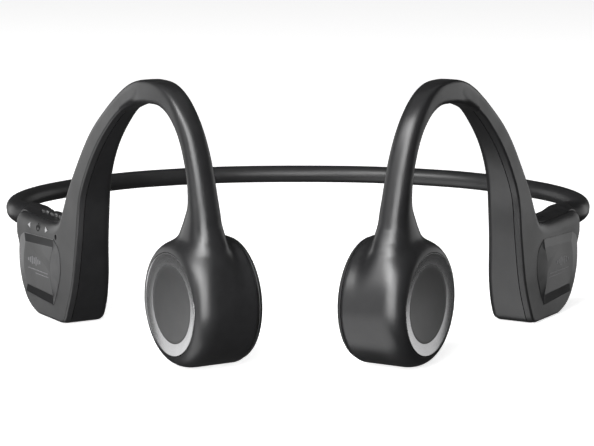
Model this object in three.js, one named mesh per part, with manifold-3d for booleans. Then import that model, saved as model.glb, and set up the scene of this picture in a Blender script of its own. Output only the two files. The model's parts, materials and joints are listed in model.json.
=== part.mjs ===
// Bone conduction headphones: two transducer pods on ear hooks, two electronics
// housings behind the ears, and a springy band round the back of the neck.
// Millimetres. +Z is up, +X is the wearer's left and +Y is behind the head. The
// origin is under the middle of the object, on the surface that it stands on.
//
// Each ear unit is made in its own frame and mirrored for the other side:
//   X is w, the depth from the outer face towards the head,
//   Y is u, the distance backwards from the pod's axis, and Z is height.

import * as THREE from 'three';
import { mergeVertices } from 'three/addons/utils/BufferGeometryUtils.js';
import Module from 'manifold-3d';

const wasm = await Module();
wasm.setup();

// ---- driving dimensions ------------------------------------------------------

const CLEARANCE = 0.3;              // between pieces that touch on the real object
const EAR_TURN = 0.536;             // radians that each ear unit is turned outwards
const EAR_X = 28.15;                // from the middle to the face of each pod
const CENTRE_Y = 65.6;              // from the pod faces back to the origin

const POD_RADIUS = 14.2;
const POD_HEIGHT = POD_RADIUS;      // pod axis above the surface
const POD_DEPTH = 14.5;             // back rim of the pod shell
const POD_MOUTH_RADIUS = 11.5;
const POD_INNER_RADIUS = 12.6;
const SHOULDER_DEPTH = 4.6;         // the rounded front edge of the pod shell
const RING_RADIUS = 11.2;
const DISC_RADIUS = 8.6;
const RING_SLOPE = 0.5;             // the ring slopes in by this much to the disc's edge
const PAD_FACE = 15.7;              // cheek pad's flat face
const ROUND_STEPS = 24;

const COVER_THICKNESS = 1.6;        // outer cover of each housing
const SHELL_FACE = COVER_THICKNESS + CLEARANCE;
const SHELL_WALL = 1.3;
const HOUSING_TOP = 23.7;
const HOUSING_REAR = 80.3;

const BAND_RADIUS = 2.35;
const BAND_BORE = 1.45;
const BAND_HEIGHT = 22;
const BAND_STEP = 4.5;              // length of each straight facet of the band
const WIRE_OFFSET = 0.65;           // of the band's core and lead from its middle
const BAND_DEPTH = 5;               // w where the band meets the housing
const FLEX_X = 45.3;                // the band's flexing stretch, from the middle
const FLEX_GAP = 1.8;               // length that the flexing stretch takes
const BOOT_LENGTH = 9;
const BOOT_WALL = 0.65;

const BUTTON_U = [71.7, 66.8, 62.2];
const BUTTON_NAMES = ['button_volume_down', 'button_multifunction', 'button_volume_up'];
const BUTTON_SIZE = [2.4, 3.4];     // along w and u
const BUTTON_TOP = 24.7;
const BUTTON_FLANGE = [21.4, 21.95];

// The charging port's opening in the underside, and the flap that closes it.
const PORT = { u: [55.2, 64.4], w: [2.9, 6.6] };
const FLAP = { u: [54.8, 66], w: [2.4, 7.2], z: [0.15, 1.05] };

// Depth of the rear leg and housing at each height, from the outer face inwards.
const DEPTH_AT_HEIGHT = [[0, 11], [3.8, 10.9], [10.4, 10.2], [21, 9.1], [31.4, 8.6], [37.8, 7.6],
  [44.4, 6.7], [50, 6.1], [54, 5.7], [58, 5.3], [63, 5.2]];

// Stations of the hook from the pod over the ear:
// u, height, w of the middle, half width in the plane, half depth, squareness.
const HOOK = [
  [-3.0, 15.5, 7.0, 11.0, 6.6, 2.4],
  [-3.2, 19.0, 7.0, 9.9, 6.3, 2.35],
  [-3.0, 22.5, 7.0, 8.2, 5.9, 2.3],
  [-2.8, 26.0, 6.95, 6.45, 5.1, 2.2],
  [-3.0, 29.0, 6.8, 5.15, 4.4, 2.2],
  [-3.4, 31.8, 6.6, 4.3, 3.95, 2.2],
  [-4.5, 34.9, 6.1, 3.45, 3.45, 2.2],
  [-5.1, 38.4, 5.5, 2.9, 3.2, 2.2],
  [-5.2, 42.4, 5.0, 2.6, 3.05, 2.2],
  [-4.9, 46.4, 4.4, 2.5, 2.95, 2.2],
  [-3.75, 50.8, 3.8, 2.45, 2.8, 2.2],
  [-1.8, 54.4, 3.3, 2.45, 2.7, 2.3],
  [1.2, 57.3, 2.95, 2.5, 2.6, 2.4],
  [5.0, 59.0, 2.75, 2.5, 2.6, 2.6],
  [10.0, 59.3, 2.6, 2.6, 2.6, 3.0],
  [15.5, 58.7, 2.6, 2.7, 2.6, 4.0],
];

// Edges of the rear leg and housing seen square on: front edge going down, rear
// edge going up.
const FRONT_EDGE = [[12, 56.7], [17.1, 55.7], [22.5, 53.9], [28.5, 49.8], [34.7, 44.3],
  [40.1, 37.7], [43.7, 31.3], [45.7, 21], [48.2, 10.4], [51.2, 3.6]];
const BOTTOM_EDGE = [[53, 0.7], [55, 0], [67.5, 0], [73.4, 2.2], [76.6, 5.8], [78, 9]];
const REAR_EDGE = [[78.4, 15], [79.4, 16.8], [HOUSING_REAR, 18.2], [HOUSING_REAR, 22.2],
  [78.7, HOUSING_TOP]];
const TOP_EDGE = [[60, HOUSING_TOP], [57, 24.5], [54.8, 26.9], [51.3, 32.2], [48, 36.9],
  [41.4, 45.1], [37.2, 49.2], [31.1, 53.8], [26.3, 57], [19.4, 60.5], [12.4, 61.9]];
const REAR_OUTLINE = [...FRONT_EDGE, ...BOTTOM_EDGE, ...REAR_EDGE, ...TOP_EDGE];

// The outer cover is the same outline from just behind the top of the hook.
const COVER_START = 16.2;

const CAVITY_OUTLINE = [[47.6, 28.2], [47.3, 21], [49.8, 10.9], [53, 4.6], [55, 2.8],
  [68, 2.8], [73, 4.6], [75.6, 7.6], [76.9, 13.9], [78.6, 18.4], [78.6, 22.3],
  [58.5, 22.3], [53.2, 25.8]];

const BADGE_OUTLINE = [[58.1, 19.7], [55.3, 17.4], [54.6, 12.4], [56.7, 6.9], [58.7, 3.8],
  [73.8, 4.7], [76.9, 8.8], [77.6, 13], [76.8, 17.6], [74.4, 19.1]];

// The band's centre line from the flexing stretch round to the housing, seen from
// above: x from the middle, and y back from the pod faces.
const BAND_SIDE = [[57, 117.3], [62, 111], [65, 106.6], [67.8, 100.9], [69.9, 94.3],
  [70.7, 88], [70.1, 81.2], [68.2, 75.6]];
const BAND_BACK = [[0, 139.6], [10.8, 139.2], [19, 138.1], [27.5, 135.9], [35.5, 132.8],
  [41.8, 129.8], [48, 125.7]];

// ---- materials ---------------------------------------------------------------

function finish(color, roughness, metalness = 0) {
  return new THREE.MeshStandardMaterial({ color, roughness, metalness });
}

const SOFT_BLACK = finish(0x242426, 0.5);
const COVER_BLACK = finish(0x2c2c2e, 0.42);
const BAND_BLACK = finish(0x1e1e20, 0.55);
const RIM_BLACK = finish(0x3a3a3c, 0.25, 0.6);
const DISC_GREY = finish(0x3d3d3f, 0.4);
const PAD_BLACK = finish(0x1c1c1e, 0.7);
const ALLOY = finish(0xa9abad, 0.35, 0.9);
const STEEL = finish(0x8d8f92, 0.35, 0.9);
const MAGNET = finish(0x6f7275, 0.3, 0.9);
const COPPER = finish(0xb4713d, 0.4, 0.8);
const LEAD = finish(0x3a2422, 0.6);
const BOARD = finish(0x1d5a36, 0.5);
const CELL = finish(0xb9bcc0, 0.45, 0.4);
const FOAM = finish(0x2d2d2d, 0.95);

// ---- solids ------------------------------------------------------------------

function toSolid(geometry) {
  const bare = geometry.clone();
  bare.deleteAttribute('normal');
  bare.deleteAttribute('uv');
  const merged = mergeVertices(bare, 1e-4);
  return new wasm.Manifold(new wasm.Mesh({
    numProp: 3,
    vertProperties: new Float32Array(merged.attributes.position.array),
    triVerts: new Uint32Array(merged.index.array),
  }));
}

function toGeometry(solid) {
  const mesh = solid.getMesh();
  const geometry = new THREE.BufferGeometry();
  geometry.setAttribute('position', new THREE.BufferAttribute(mesh.vertProperties, 3));
  geometry.setIndex(new THREE.BufferAttribute(mesh.triVerts, 1));
  const flat = geometry.toNonIndexed();
  flat.computeVertexNormals();
  return flat;
}

function join(...geometries) {
  return toGeometry(geometries.map(toSolid).reduce((all, next) => all.add(next)));
}

function cut(body, ...tools) {
  return toGeometry(tools.map(toSolid).reduce((left, tool) => left.subtract(tool), toSolid(body)));
}

function depthAt(height) {
  const above = DEPTH_AT_HEIGHT.findIndex(([z]) => z > height);
  const [z0, d0] = DEPTH_AT_HEIGHT[above - 1];
  const [z1, d1] = DEPTH_AT_HEIGHT[above];
  return d0 + (d1 - d0) * (height - z0) / (z1 - z0);
}

// A closed outline moved inwards by a distance, with the same number of points.
function inset(outline, distance) {
  const sign = THREE.ShapeUtils.isClockWise(outline.map(([x, y]) => new THREE.Vector2(x, y))) ? -1 : 1;
  return outline.map((point, i) => {
    const before = outline[(i + outline.length - 1) % outline.length];
    const after = outline[(i + 1) % outline.length];
    const a = new THREE.Vector2(point[0] - before[0], point[1] - before[1]).normalize();
    const b = new THREE.Vector2(after[0] - point[0], after[1] - point[1]).normalize();
    const normal = new THREE.Vector2(-a.y - b.y, a.x + b.x).multiplyScalar(sign);
    const length = 2 * distance / normal.lengthSq();
    return [point[0] + normal.x * length, point[1] + normal.y * length];
  });
}

// A closed skin over rings that all hold the same number of points.
function skin(rings) {
  const count = rings[0].length;
  const position = rings.flat().flatMap((point) => [point.x, point.y, point.z]);
  const index = [];
  for (let r = 0; r + 1 < rings.length; r += 1) {
    for (let i = 0; i < count; i += 1) {
      const a = r * count + i;
      const b = r * count + (i + 1) % count;
      index.push(a, b, a + count, b, b + count, a + count);
    }
  }
  const last = (rings.length - 1) * count;
  for (const [a, b, c] of capTriangles(rings[0])) index.push(c, b, a);
  for (const [a, b, c] of capTriangles(rings[rings.length - 1])) {
    index.push(last + a, last + b, last + c);
  }
  const geometry = new THREE.BufferGeometry();
  geometry.setAttribute('position', new THREE.Float32BufferAttribute(position, 3));
  geometry.setIndex(index);
  geometry.computeVertexNormals();
  return geometry;
}

// Triangles that close a flat ring, wound the way that the ring runs.
function capTriangles(ring) {
  const normal = new THREE.Vector3();
  ring.forEach((point, i) => normal.add(point.clone().cross(ring[(i + 1) % ring.length])));
  normal.normalize();
  const across = ring[1].clone().sub(ring[0]).normalize();
  const up = normal.clone().cross(across);
  const flat = ring.map((point) => new THREE.Vector2(point.dot(across), point.dot(up)));
  return THREE.ShapeUtils.triangulateShape(flat, []);
}

// An outline in u and height, built up through depth by [w, inset] layers. wAt
// turns a layer's w into the one used at a given height.
function slab(outline, layers, wAt = (w) => w) {
  const anticlockwise = !THREE.ShapeUtils.isClockWise(outline.map(([x, y]) => new THREE.Vector2(x, y)));
  const loop = anticlockwise ? outline : [...outline].reverse();
  return skin(layers.map(([w, distance]) => inset(loop, distance)
    .map(([u, z]) => new THREE.Vector3(wAt(w, z), u, z))));
}

// A round piece whose axis runs along w, from [radius, w] points.
function round(profile, steps = ROUND_STEPS) {
  const points = profile.map(([radius, w]) => new THREE.Vector2(radius, w));
  const geometry = new THREE.LatheGeometry(points, steps);
  geometry.rotateZ(-Math.PI / 2);
  geometry.translate(0, 0, POD_HEIGHT);
  return toGeometry(toSolid(geometry));
}

function box(w, u, z) {
  const geometry = new THREE.BoxGeometry(w[1] - w[0], u[1] - u[0], z[1] - z[0]);
  geometry.translate((w[0] + w[1]) / 2, (u[0] + u[1]) / 2, (z[0] + z[1]) / 2);
  return geometry;
}

function rod(axis, radius, length, centre, sides = 12) {
  const geometry = new THREE.CylinderGeometry(radius, radius, length, sides);
  if (axis === 'w') geometry.rotateZ(Math.PI / 2);
  if (axis === 'z') geometry.rotateX(Math.PI / 2);
  geometry.translate(...centre);
  return geometry;
}

function circle(radius, sides, hole = 0) {
  const shape = new THREE.Shape();
  for (let i = 0; i < sides; i += 1) {
    const turn = 2 * Math.PI * i / sides;
    const method = i === 0 ? 'moveTo' : 'lineTo';
    shape[method](radius * Math.cos(turn), radius * Math.sin(turn));
  }
  shape.closePath();
  if (hole) shape.holes.push(circle(hole, Math.max(6, sides - 4)));
  return shape;
}

function tube(path, steps, shape) {
  return new THREE.ExtrudeGeometry(shape, { steps, bevelEnabled: false, extrudePath: path });
}

// ---- routes ------------------------------------------------------------------

// A stretch of a longer curve, measured along it in millimetres.
class Stretch extends THREE.Curve {
  constructor(whole, from, to, offset = 0) {
    super();
    this.whole = whole;
    this.from = from / whole.getLength();
    this.to = to / whole.getLength();
    this.offset = offset;
  }

  getPoint(t, target = new THREE.Vector3()) {
    const at = this.from + (this.to - this.from) * t;
    const along = this.whole.getTangentAt(at);
    const point = this.whole.getPointAt(at);
    target.set(point.x + along.y * this.offset, point.y - along.x * this.offset, point.z);
    return target;
  }
}

function earToBand(w, u) {
  const x = -EAR_X + w * Math.cos(EAR_TURN) - u * Math.sin(EAR_TURN);
  const y = w * Math.sin(EAR_TURN) + u * Math.cos(EAR_TURN);
  return [-x, y];
}

const bandEnd = earToBand(BAND_DEPTH, HOUSING_REAR + 2 * CLEARANCE);
const halfBand = [...BAND_BACK, ...BAND_SIDE, bandEnd];
const bandRoute = new THREE.CatmullRomCurve3([
  ...[...halfBand].reverse().map(([x, y]) => new THREE.Vector3(-x, y - CENTRE_Y, BAND_HEIGHT)),
  ...halfBand.slice(1).map(([x, y]) => new THREE.Vector3(x, y - CENTRE_Y, BAND_HEIGHT)),
], false, 'centripetal');
bandRoute.arcLengthDivisions = 800;

const bandLength = bandRoute.getLength();

// Length along the band at which it first reaches a given x.
function lengthAtX(x) {
  let low = 0.2;
  let high = 0.8;
  for (let i = 0; i < 40; i += 1) {
    const middle = (low + high) / 2;
    if (bandRoute.getPointAt(middle).x < x) low = middle;
    else high = middle;
  }
  return low * bandLength;
}

const flexRight = lengthAtX(-FLEX_X);
const flexLeft = lengthAtX(FLEX_X);

// The wires' channel follows the hook's stations from the top of the pod's hollow,
// then the rear leg to the housing.
const CHANNEL_DEPTH = 3.6;
const CHANNEL_STATION = 2;
const channelRoute = new THREE.CatmullRomCurve3([
  ...HOOK.slice(CHANNEL_STATION, -2).map(([u, z, w]) => new THREE.Vector3(Math.max(w, CHANNEL_DEPTH), u, z)),
  new THREE.Vector3(CHANNEL_DEPTH, 10, 59.3),
  new THREE.Vector3(CHANNEL_DEPTH, 17, 58.2),
  new THREE.Vector3(CHANNEL_DEPTH, 24, 55.6),
  new THREE.Vector3(CHANNEL_DEPTH, 29.9, 51.8),
  new THREE.Vector3(CHANNEL_DEPTH + 0.2, 36.2, 46.4),
  new THREE.Vector3(CHANNEL_DEPTH + 0.5, 42.2, 39.5),
  new THREE.Vector3(CHANNEL_DEPTH + 0.8, 46.8, 32.7),
  new THREE.Vector3(CHANNEL_DEPTH + 1, 50.2, 25),
], false, 'centripetal');

// ---- the ear unit's shells ---------------------------------------------------

function hookSolid() {
  const sides = 16;
  return skin(HOOK.map(([u, z, w, halfWidth, halfDepth, squareness], i) => {
    const before = HOOK[Math.max(i - 1, 0)];
    const after = HOOK[Math.min(i + 1, HOOK.length - 1)];
    const along = new THREE.Vector2(after[0] - before[0], after[1] - before[1]).normalize();
    return Array.from({ length: sides }, (_, k) => {
      const turn = 2 * Math.PI * (k + 0.5) / sides;
      const bulge = (value) => Math.sign(value) * Math.abs(value) ** (2 / squareness);
      const out = halfWidth * bulge(Math.cos(turn));
      return new THREE.Vector3(w + halfDepth * bulge(Math.sin(turn)), u - along.y * out, z + along.x * out);
    });
  }));
}

function podSolid() {
  const shoulder = [0.3, 1, 2, 3].map((w) => {
    const inward = (SHOULDER_DEPTH - w) / SHOULDER_DEPTH;
    return [RING_RADIUS + (POD_RADIUS - RING_RADIUS) * Math.sqrt(1 - inward ** 2), w];
  });
  return round([[0, 0.3], ...shoulder, [POD_RADIUS, SHOULDER_DEPTH],
    [POD_RADIUS, POD_DEPTH - 0.9], [POD_RADIUS - 0.5, POD_DEPTH], [0, POD_DEPTH]]);
}

function podCavity() {
  return round([[0, -1], [POD_MOUTH_RADIUS, -1], [POD_MOUTH_RADIUS, 2.6], [POD_INNER_RADIUS, 3.6],
    [POD_INNER_RADIUS, POD_DEPTH + 1], [0, POD_DEPTH + 1]]);
}

// The inner face of the rear leg and housing is rounded off over these layers.
function rearSolid() {
  const inner = [[SHELL_FACE, 0], [-1.8, 0], [-0.7, 0.35], [0, 1.3]];
  return slab(REAR_OUTLINE, inner, (w, z) => (w > 0 ? w : depthAt(z) + w));
}

function housingCavity() {
  const floor = (w, z) => (w > 0 ? w : depthAt(z) - SHELL_WALL);
  return slab(CAVITY_OUTLINE, [[0.5, 0], [0, 0]], floor);
}

function wireChannel() {
  const half = new THREE.Vector2(0.95, 1.5);
  const shape = new THREE.Shape([
    new THREE.Vector2(-half.x, -half.y), new THREE.Vector2(half.x, -half.y),
    new THREE.Vector2(half.x, half.y), new THREE.Vector2(-half.x, half.y),
  ]);
  return tube(channelRoute, 26, shape);
}

function bandBoss() {
  return rod('u', BAND_DEPTH - SHELL_FACE, 7, [BAND_DEPTH, HOUSING_REAR - 3.5, BAND_HEIGHT], 14);
}

function bandHole() {
  return rod('u', 1.6, 8, [BAND_DEPTH, HOUSING_REAR - 1, BAND_HEIGHT - 0.7], 8);
}

// Holes that only the control side has: three buttons and the charging port.
function controlHoles() {
  const buttons = BUTTON_U.map((u) => box(
    [BAND_DEPTH - BUTTON_SIZE[0] / 2 - CLEARANCE, BAND_DEPTH + BUTTON_SIZE[0] / 2 + CLEARANCE],
    [u - BUTTON_SIZE[1] / 2 - CLEARANCE, u + BUTTON_SIZE[1] / 2 + CLEARANCE],
    [HOUSING_TOP - 3, HOUSING_TOP + 3],
  ));
  const port = box(PORT.w, PORT.u, [-1, 4]);
  const seat = box(
    [FLAP.w[0] - CLEARANCE, FLAP.w[1] + CLEARANCE],
    [FLAP.u[0] - CLEARANCE, FLAP.u[1] + CLEARANCE],
    [-1, FLAP.z[1] + CLEARANCE],
  );
  return [...buttons, port, seat];
}

function armShell(isControlSide) {
  const outside = join(hookSolid(), podSolid(), rearSolid(), bandBoss());
  const holes = isControlSide ? controlHoles() : [];
  return cut(outside, podCavity(), housingCavity(), wireChannel(), bandHole(), ...holes);
}

function outerCover(isControlSide) {
  const outline = REAR_OUTLINE.filter(([u]) => u > COVER_START);
  const plate = slab(outline, [[0, 0.55], [0.3, 0.12], [0.7, 0], [COVER_THICKNESS, 0]]);
  if (!isControlSide) return plate;
  return cut(plate, rod('w', 0.5, 6, [0, 57, 20.4], 10));
}

function badgePlate() {
  return slab(BADGE_OUTLINE, [[-1.0, 3.2], [-0.55, 0.35], [-CLEARANCE, 0]]);
}

// ---- the pod's pieces --------------------------------------------------------

function podPieces() {
  return [
    ['pod_rim', RIM_BLACK, round([[RING_RADIUS, 0], [RING_RADIUS, 2.2], [DISC_RADIUS, 2.6],
      [DISC_RADIUS, RING_SLOPE], [RING_RADIUS - 0.35, 0], [RING_RADIUS, 0]])],
    ['pod_disc', DISC_GREY, round([[0, RING_SLOPE + 0.4], [4.5, RING_SLOPE + 0.28],
      [DISC_RADIUS - CLEARANCE, RING_SLOPE], [DISC_RADIUS - CLEARANCE, RING_SLOPE + 1.2],
      [0, RING_SLOPE + 1.6]])],
    ['cheek_pad', PAD_BLACK, round([[0, 14.1], [POD_INNER_RADIUS - CLEARANCE, 14.1],
      [POD_INNER_RADIUS - CLEARANCE, POD_DEPTH + CLEARANCE], [POD_RADIUS - 0.5, POD_DEPTH + CLEARANCE],
      [POD_RADIUS - 1.1, PAD_FACE - 0.3], [POD_RADIUS - 2.4, PAD_FACE], [0, PAD_FACE]])],
    ['exciter_can', STEEL, round([[0, 4.6], [9.4, 4.6], [9.4, 11.6], [8.7, 11.6], [8.7, 5.4],
      [0, 5.4]], 20)],
    ['exciter_magnet', MAGNET, round([[0, 5.7], [5, 5.7], [5, 8.4], [0, 8.4]], 16)],
    ['exciter_pole_plate', STEEL, round([[0, 8.7], [4.9, 8.7], [4.9, 9.6], [0, 9.6]], 16)],
    ['voice_coil', COPPER, round([[5.5, 7], [6.4, 7], [6.4, 11.4], [5.5, 11.4], [5.5, 7]], 18)],
    ['suspension_spring', STEEL, round([[3.4, 11.9], [9.4, 11.9], [9.4, 12.3], [3.4, 12.3],
      [3.4, 11.9]], 18)],
    ['drive_plate', DISC_GREY, round([[0, 10.4], [3, 10.4], [3, 12.6], [8, 12.6], [8, 13.7],
      [0, 13.7]], 18)],
  ];
}

function hookWires() {
  const length = channelRoute.getLength();
  const core = new Stretch(channelRoute, 2.5, length - 3);
  const lead = new Stretch(channelRoute, 3.5, length - 2);
  return [
    ['hook_core', ALLOY, shifted(core, 0.75)],
    ['hook_lead', LEAD, shifted(lead, -0.75)],
  ].map(([name, material, path]) => [name, material, tube(path, 20, circle(0.5, 5))]);
}

// The same route moved sideways in the plane of the hook.
function shifted(route, distance) {
  const points = Array.from({ length: 25 }, (_, i) => {
    const point = route.getPoint(i / 24);
    const ahead = route.getPoint(Math.min(i / 24 + 0.01, 1));
    const behind = route.getPoint(Math.max(i / 24 - 0.01, 0));
    const along = new THREE.Vector2(ahead.y - behind.y, ahead.z - behind.z).normalize();
    return new THREE.Vector3(point.x, point.y - along.y * distance, point.z + along.x * distance);
  });
  return new THREE.CatmullRomCurve3(points, false, 'centripetal');
}

// ---- what each housing holds -------------------------------------------------

function buttonCap(u) {
  const [depth, length] = BUTTON_SIZE;
  const stem = box([BAND_DEPTH - depth / 2, BAND_DEPTH + depth / 2], [u - length / 2, u + length / 2],
    [BUTTON_FLANGE[0], BUTTON_TOP]);
  const flange = box([BAND_DEPTH - depth / 2 - 0.6, BAND_DEPTH + depth / 2 + 0.6],
    [u - length / 2 - 0.5, u + length / 2 + 0.5], BUTTON_FLANGE);
  return join(stem, flange);
}

function tactSwitch(u) {
  const body = box([3.3, 5.7], [u - 1.6, u + 1.6], [18.8, 20.3]);
  const plunger = rod('z', 0.6, 0.7, [BAND_DEPTH, u, 20.4], 8);
  return join(body, plunger);
}

function chargingSocket() {
  const shell = box([PORT.w[0] + 0.2, PORT.w[1] - 0.2], [PORT.u[0] + 0.2, PORT.u[1] - 0.2], [1.7, 8.2]);
  const mouth = box([PORT.w[0] + 0.5, PORT.w[1] - 0.5], [PORT.u[0] + 0.5, PORT.u[1] - 0.5], [1, 7.4]);
  const tongue = box([4.5, 5.0], [PORT.u[0] + 1.4, PORT.u[1] - 1.4], [3.6, 7.8]);
  return join(cut(shell, mouth), tongue);
}

function portFlap() {
  const plate = box(FLAP.w, FLAP.u, FLAP.z);
  const plug = box([PORT.w[0] + 0.8, PORT.w[1] - 0.8], [PORT.u[0] + 0.8, PORT.u[1] - 0.8],
    [FLAP.z[1] - 0.2, 2.6]);
  return join(plate, plug);
}

function boardScrew(u, z) {
  const shank = rod('w', 0.5, 1.7, [6.5, u, z], 8);
  const head = rod('w', 1.05, 0.6, [5.4, u, z], 12);
  return join(shank, head);
}

const SCREW_PLACES = [[74.2, 10.4], [52.4, 14.5]];

function mainBoard() {
  const board = slab([[49.6, 18], [51.6, 9.2], [53.8, 8.7], [74.6, 8.7], [76.2, 14],
    [76.2, 18]], [[6, 0], [6.8, 0]]);
  const holes = SCREW_PLACES.map(([u, z]) => rod('w', 0.8, 6, [6, u, z], 8));
  return cut(board, ...holes);
}

function controlPieces() {
  return [
    ['main_board', BOARD, mainBoard()],
    ['chip_shield', STEEL, box([4.4, 5.7], [57.5, 70.5], [9.4, 17.2])],
    ['charging_socket', STEEL, chargingSocket()],
    ['microphone', STEEL, box([2.2, 3.3], [55.2, 58.8], [18.6, 21.4])],
    ['port_cover', PAD_BLACK, portFlap()],
    ...BUTTON_U.map((u, i) => [BUTTON_NAMES[i], SOFT_BLACK, buttonCap(u)]),
    ...BUTTON_U.map((u, i) => [`switch_${i + 1}`, STEEL, tactSwitch(u)]),
    ...SCREW_PLACES.map(([u, z], i) => [`board_screw_${i + 1}`, STEEL, boardScrew(u, z)]),
  ];
}

function batteryPieces() {
  return [
    ['battery_cell', CELL, box([2.5, 6.6], [53.4, 73.2], [5.6, 19.6])],
    ['protection_board', BOARD, box([2.6, 3.6], [74, 75.6], [9.5, 19.6])],
    ['battery_foam', FOAM, box([6.9, 7.1], [54.6, 72.6], [8.2, 16.4])],
  ];
}

// ---- assembly ----------------------------------------------------------------

const group = new THREE.Group();

function place(parent, name, material, geometry) {
  const mesh = new THREE.Mesh(geometry, material);
  mesh.name = name;
  parent.add(mesh);
}

function earUnit(suffix, mirror) {
  const side = new THREE.Group();
  side.scale.x = mirror;
  const unit = new THREE.Group();
  unit.position.set(-EAR_X, -CENTRE_Y, 0);
  unit.rotation.z = EAR_TURN;
  const isControlSide = suffix === 'right';
  place(unit, `arm_shell_${suffix}`, SOFT_BLACK, armShell(isControlSide));
  place(unit, `outer_cover_${suffix}`, COVER_BLACK, outerCover(isControlSide));
  place(unit, `badge_plate_${suffix}`, DISC_GREY, badgePlate());
  for (const [name, material, geometry] of [...podPieces(), ...hookWires()]) {
    place(unit, `${name}_${suffix}`, material, geometry);
  }
  for (const piece of isControlSide ? controlPieces() : batteryPieces()) place(unit, ...piece);
  side.add(unit);
  return side;
}

group.add(earUnit('right', 1), earUnit('left', -1));

const half = FLEX_GAP / 2;
const bandStretches = [
  ['right', 0, flexRight - half],
  ['center', flexRight + half, flexLeft - half],
  ['left', flexLeft + half, bandLength],
];

for (const [name, from, to] of bandStretches) {
  const steps = Math.round((to - from) / BAND_STEP);
  place(group, `band_sleeve_${name}`, BAND_BLACK,
    tube(new Stretch(bandRoute, from, to), steps, circle(BAND_RADIUS, 12, BAND_BORE)));
  place(group, `band_core_${name}`, ALLOY,
    tube(new Stretch(bandRoute, from + 0.2, to - 0.2, WIRE_OFFSET), steps, circle(0.45, 5)));
  place(group, `band_lead_${name}`, LEAD,
    tube(new Stretch(bandRoute, from + 0.2, to - 0.2, -WIRE_OFFSET), steps, circle(0.4, 5)));
}

const BOOT_SECTION = circle(BAND_RADIUS + CLEARANCE + BOOT_WALL, 12, BAND_RADIUS + CLEARANCE);
place(group, 'band_boot_right', SOFT_BLACK,
  tube(new Stretch(bandRoute, 0, BOOT_LENGTH), 4, BOOT_SECTION));
place(group, 'band_boot_left', SOFT_BLACK,
  tube(new Stretch(bandRoute, bandLength - BOOT_LENGTH, bandLength), 4, BOOT_SECTION));

export default group;
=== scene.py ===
# Looks of the bone conduction headphones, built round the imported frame.
# Shapes are worked out in millimetres in each ear unit's own frame:
#   w is the depth from the outer face towards the head, u is the distance
#   backwards from the pod's axis, and z is height. place() turns them into the
#   row frame in metres, and mirrors them for the left unit.

import json
import math

import bpy
import numpy as np
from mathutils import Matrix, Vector


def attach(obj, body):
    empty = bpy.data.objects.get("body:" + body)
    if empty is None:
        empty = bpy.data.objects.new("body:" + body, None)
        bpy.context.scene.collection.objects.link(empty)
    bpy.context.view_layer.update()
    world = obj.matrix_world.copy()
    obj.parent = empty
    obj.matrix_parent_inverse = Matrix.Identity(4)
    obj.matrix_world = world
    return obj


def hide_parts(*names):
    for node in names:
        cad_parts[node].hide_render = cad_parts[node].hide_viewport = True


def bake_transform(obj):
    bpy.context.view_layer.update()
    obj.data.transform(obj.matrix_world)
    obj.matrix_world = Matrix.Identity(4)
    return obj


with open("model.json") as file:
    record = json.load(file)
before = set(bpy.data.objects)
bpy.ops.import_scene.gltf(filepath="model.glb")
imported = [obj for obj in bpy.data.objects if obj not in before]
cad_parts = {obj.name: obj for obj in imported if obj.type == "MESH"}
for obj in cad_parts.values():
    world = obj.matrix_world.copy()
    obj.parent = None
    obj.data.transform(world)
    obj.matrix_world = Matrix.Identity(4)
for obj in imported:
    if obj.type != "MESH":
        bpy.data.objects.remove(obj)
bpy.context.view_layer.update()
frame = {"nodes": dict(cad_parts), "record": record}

# ---- driving dimensions, in millimetres ----

MM = 0.001
EAR_TURN = 0.536            # radians that each ear unit is turned outwards
EAR_X = 28.15               # from the middle to the face of each pod
CENTRE_Y = 65.6             # from the pod faces back to the origin
SIDES = {"right": 1, "left": -1}

POD_RADIUS = 14.09
POD_HEIGHT = 14.2
POD_DEPTH = 14.5
POD_EDGE = 0.7              # rounding of the pod shell's back edge
POD_FLARE = 0.03            # share by which the pod widens where its front meets the hook
FLARE_FADE = (4, 12)        # depths between which that widening fades out
SHOULDER_DEPTH = 4.6
RING_RADIUS = 11.2          # the bright ring's outer edge
DISC_RADIUS = 8.6
DISC_HOLLOW = 0.5           # depth of the disc's dish
RING_SLOPE = 0.5            # the ring slopes in by this much to the disc's edge
MOUTH_RADIUS = 11.38        # of the opening in the pod's shell, round the ring
POD_INNER_RADIUS = 12.6
PAD_FACE = 15.7             # depth of the cheek pad's face

COVER_THICKNESS = 1.6
PARTING_GAP = 0.14          # groove between the outer cover and the shell
COVER_START = 23            # where the outer cover's tail ends, on the rear leg
TAIL_GAP = 0.04
COVER_DRAFT = 0.28          # how much the cover's side leans in over its thickness
SHELL_WALL = 1.3
HOUSING_TOP = 23.7
HOUSING_REAR = 80.3
APEX = 61.9                 # height of the top of the ear loop

BAND_RADIUS = 2.28
BAND_BORE = 1.45
BAND_HEIGHT = 22
BAND_DEPTH = 5
FLEX_X = 45.3
FLEX_REACH = 30             # how far the bend spreads on each side of the pivot
WIRE_OFFSET = 0.65          # the core and the lead lie this far to each side of the middle
CORE_RADIUS = 0.45
LEAD_RADIUS = 0.4
BOOT_LENGTH = 9
BOOT_STEP = 0.3
BOOT_REACH = 0.55           # how far the boot goes on past the band's end, to the housing
BOOT_RADIUS = 3.05
BOOT_TAPER = 0.5            # how much the boot's radius falls off along the band

BUTTON_U = [71.7, 66.8, 62.2]
BUTTONS = ["button_volume_down", "button_multifunction", "button_volume_up"]
BUTTON_HALF = (1.2, 1.7)    # half its width along w and along u
BUTTON_TOP = 24.7
HOLE_ROOM = 0.16            # gap round each button and round the port cover

# The boss round the band, at the housing's rear: it swells as it goes back.
BOSS_FRONT, BOSS_START, BOSS_SWELL = 66, 73.2, 3.6
BOSS_RADIUS = (1.6, 3.08)
BOSS_EDGE = 0.35

HOOK_FILLET = 1.7           # reach of the fillet between the hook and the pod
LEG_FILLET = 0.3
BOSS_FILLET = 1.6

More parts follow.
